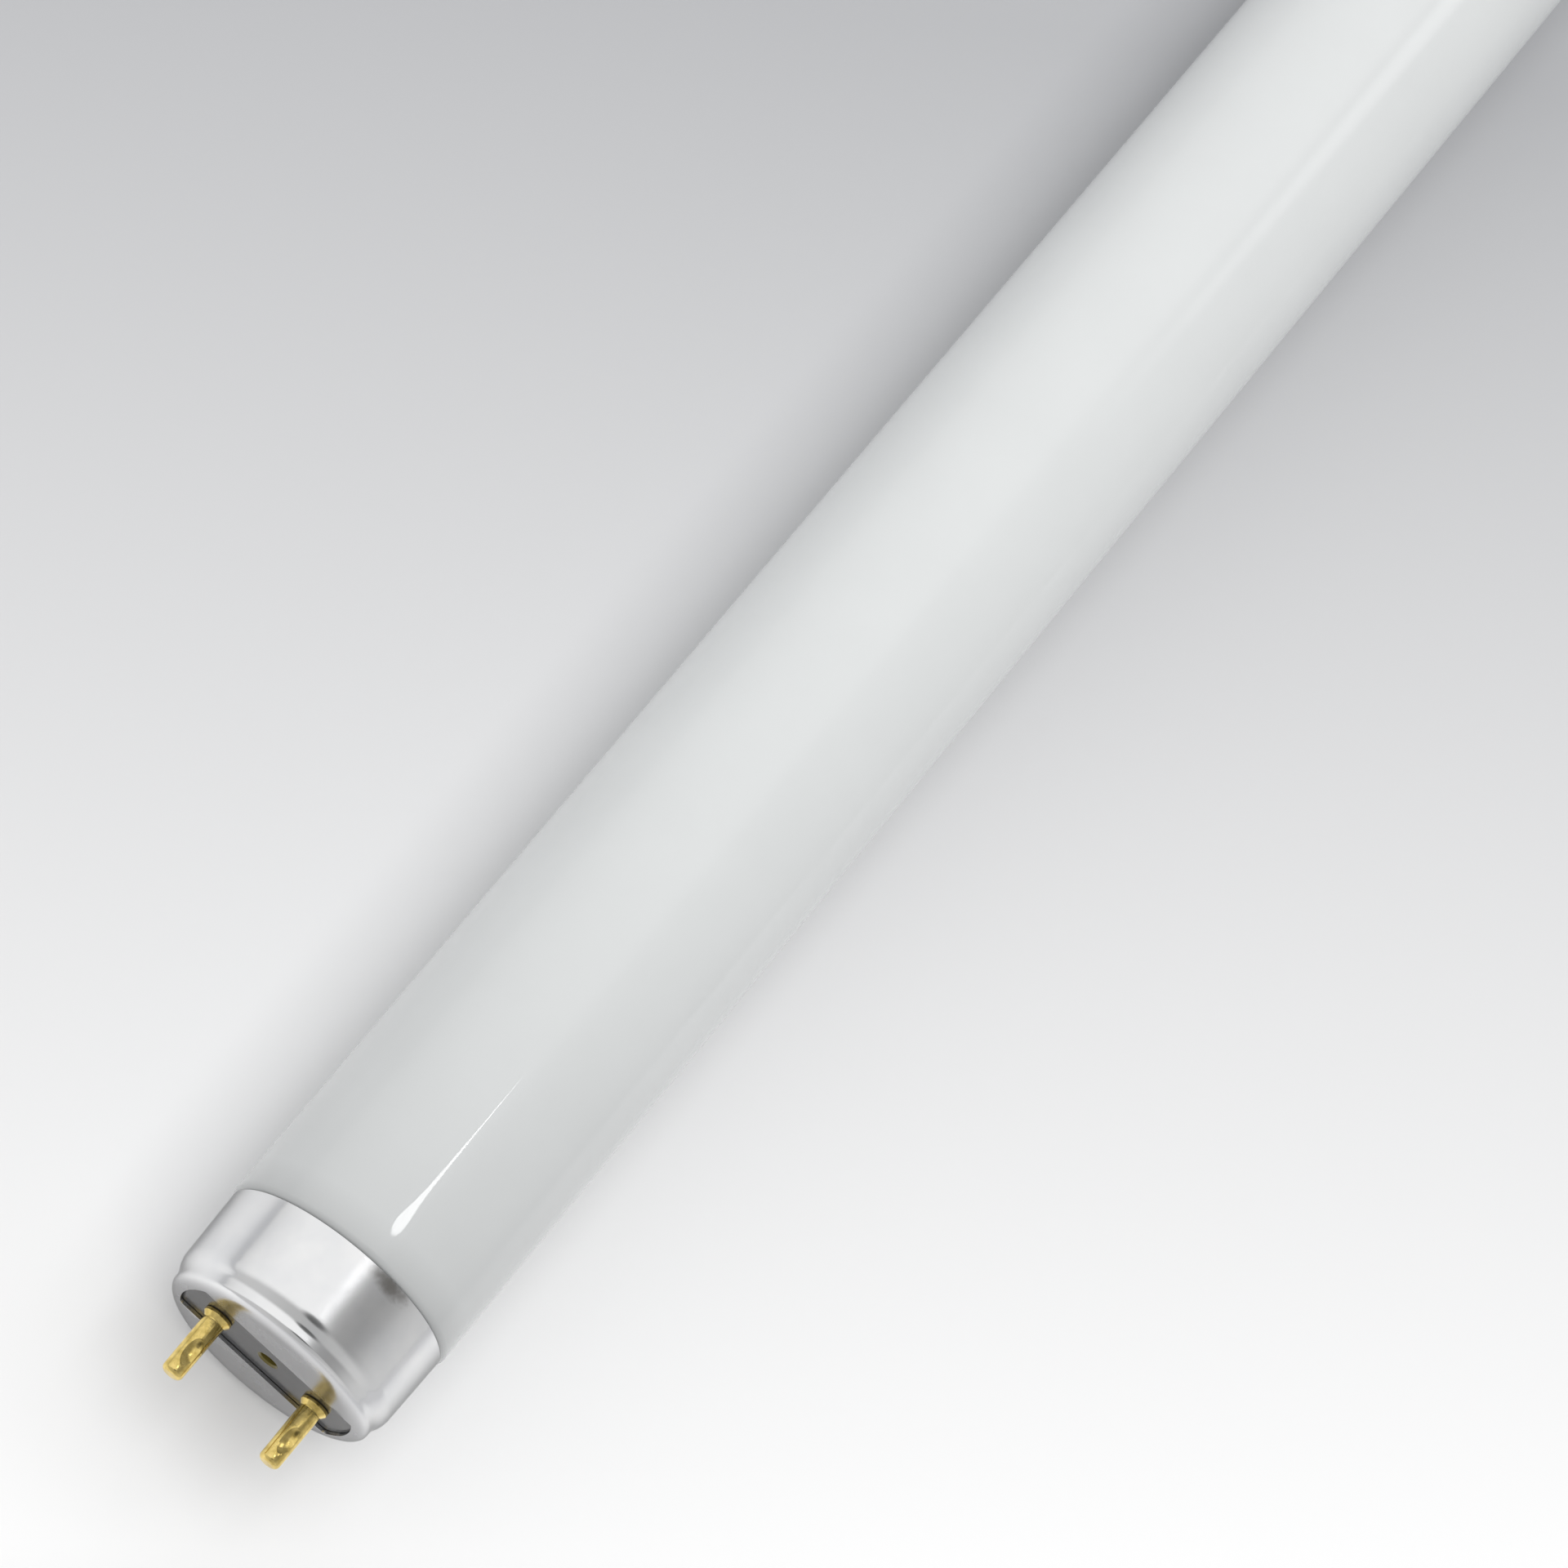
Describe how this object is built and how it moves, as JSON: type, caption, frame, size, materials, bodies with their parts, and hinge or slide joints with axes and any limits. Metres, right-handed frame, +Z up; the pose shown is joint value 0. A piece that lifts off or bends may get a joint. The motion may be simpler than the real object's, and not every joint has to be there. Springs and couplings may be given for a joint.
{
  "type": "fluorescent tube",
  "caption": "Straight fluorescent lamp: white coated glass tube with an aluminium two-pin cap on each end.",
  "frame": {"origin": "middle of the lamp, on the tube's axis", "axes": "+X along the tube towards the end shown in the picture, +Y through both pins of an end, +Z up"},
  "size_m": [0.604, 0.026, 0.026],
  "materials": {
    "phosphor_glass": "glossy clear glass with an opaque white coating inside",
    "polished_aluminium": "bright drawn aluminium",
    "dark_phenolic": "smooth moulded phenolic",
    "yellow_brass": "bright turned brass",
    "basing_cement": "matt baked cement",
    "nickelled_wire": "drawn nickel-plated wire"
  },
  "bodies": {
    "root": {"cement_ring_a": "basing_cement", "cement_ring_b": "basing_cement", "contact_pin_a1": "yellow_brass", "contact_pin_a2": "yellow_brass", "contact_pin_b1": "yellow_brass", "contact_pin_b2": "yellow_brass", "end_cap_a": "polished_aluminium", "end_cap_b": "polished_aluminium", "glass_tube": "phosphor_glass", "lead_wire_a1": "nickelled_wire", "lead_wire_a2": "nickelled_wire", "lead_wire_b1": "nickelled_wire", "lead_wire_b2": "nickelled_wire", "pin_plate_a": "dark_phenolic", "pin_plate_b": "dark_phenolic"}
  },
  "joints": []
}
